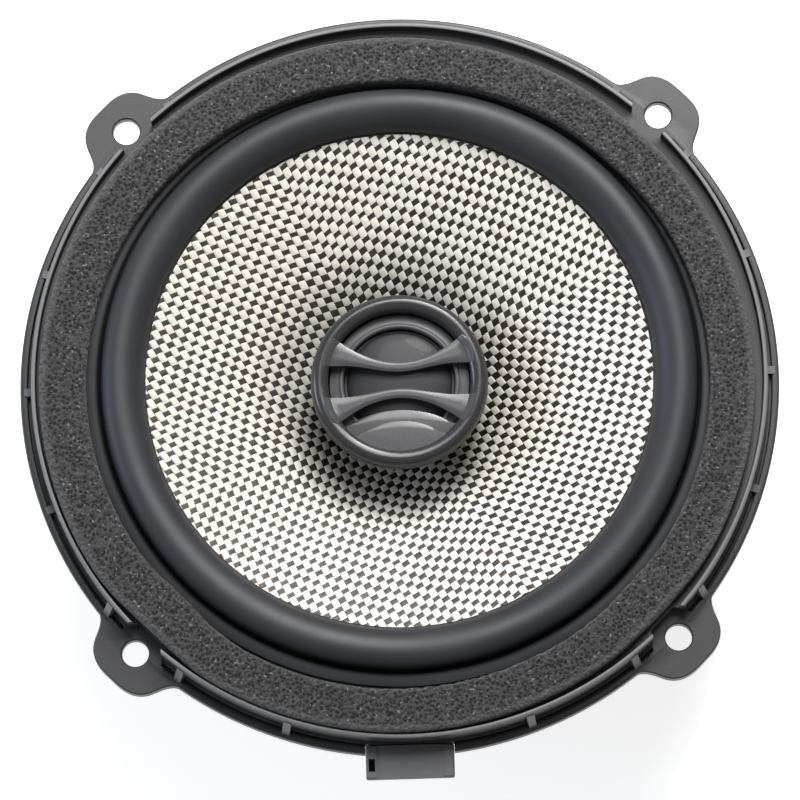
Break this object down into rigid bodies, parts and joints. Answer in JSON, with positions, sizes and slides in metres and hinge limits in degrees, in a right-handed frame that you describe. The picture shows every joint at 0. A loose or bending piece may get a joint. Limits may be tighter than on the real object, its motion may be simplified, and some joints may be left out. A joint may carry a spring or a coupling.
{
  "type": "coaxial car speaker",
  "caption": "Round coaxial car speaker with woven cone, rubber surround, foam ring and central tweeter pod, on a drop-in plastic door frame with screw lugs and a plug block",
  "frame": {"origin": "on the speaker's axis, in the middle of the magnet's flat back, which the speaker stands on", "axes": "+Z is the way the speaker faces, -Y points to the plug, +X is to the right seen from the front with the plug at the bottom"},
  "size_m": [0.185, 0.1906, 0.0692],
  "materials": {
    "frame_plastic": "moulded satin black",
    "foam": "open-cell foam",
    "rubber": "satin",
    "woven_cloth": "resin-coated plain weave",
    "former_film": "amber film",
    "copper": "enamelled wire",
    "spider_cloth": "pressed cloth",
    "plated_steel": "plated",
    "ferrite": "sintered matt black",
    "zinc_screw": "zinc plated",
    "post_plastic": "moulded",
    "pod_plastic": "satin",
    "grille_plastic": "satin",
    "tweeter_steel": "plated",
    "face_ring_plastic": "satin",
    "dome_silk": "coated silk",
    "tweeter_copper": "enamelled wire",
    "neodymium": "nickel plated",
    "plug_plastic": "moulded",
    "blade_brass": "bright",
    "board": "phenolic board",
    "lug_brass": "bright",
    "red_insulation": "soft insulation",
    "black_insulation": "soft insulation",
    "copper_braid": "braided",
    "capacitor_film": "film wrap"
  },
  "bodies": {
    "frame": {"basket": "frame_plastic", "foam_gasket": "foam", "surround": "rubber", "spider": "spider_cloth", "top_plate": "plated_steel", "magnet": "ferrite", "pole_yoke": "plated_steel", "basket_screw_1": "zinc_screw", "basket_screw_2": "zinc_screw", "basket_screw_3": "zinc_screw", "basket_screw_4": "zinc_screw", "tweeter_post": "post_plastic", "tweeter_cup": "pod_plastic", "tweeter_grille": "grille_plastic", "tweeter_face_ring": "face_ring_plastic", "tweeter_washer": "tweeter_steel", "tweeter_magnet": "neodymium", "tweeter_yoke": "tweeter_steel", "connector_housing": "plug_plastic", "connector_blade_negative": "blade_brass", "connector_blade_positive": "blade_brass", "terminal_board": "board", "terminal_lug_negative": "lug_brass", "terminal_lug_positive": "lug_brass", "tinsel_lead_negative": "copper_braid", "tinsel_lead_positive": "copper_braid", "supply_wire_negative": "black_insulation", "supply_wire_positive": "red_insulation", "capacitor": "capacitor_film", "capacitor_wire": "red_insulation", "tweeter_wire_negative": "black_insulation", "tweeter_wire_positive": "red_insulation"},
    "moving_cone": {"cone": "woven_cloth", "voice_coil_former": "former_film", "voice_coil_winding": "copper"},
    "moving_dome": {"tweeter_dome": "dome_silk", "tweeter_voice_coil": "tweeter_copper"}
  },
  "joints": [
    {"name": "cone_slide", "type": "slide", "parent": "frame", "child": "moving_cone", "axis": [0, 0, 1], "range_m": [-0.004, 0.004], "stiffness_N_per_m": 900, "deforming": ["surround", "spider", "tinsel_lead_negative", "tinsel_lead_positive"]},
    {"name": "dome_slide", "type": "slide", "parent": "frame", "child": "moving_dome", "axis": [0, 0, 1], "range_m": [-0.0003, 0.0003], "stiffness_N_per_m": 2000}
  ]
}
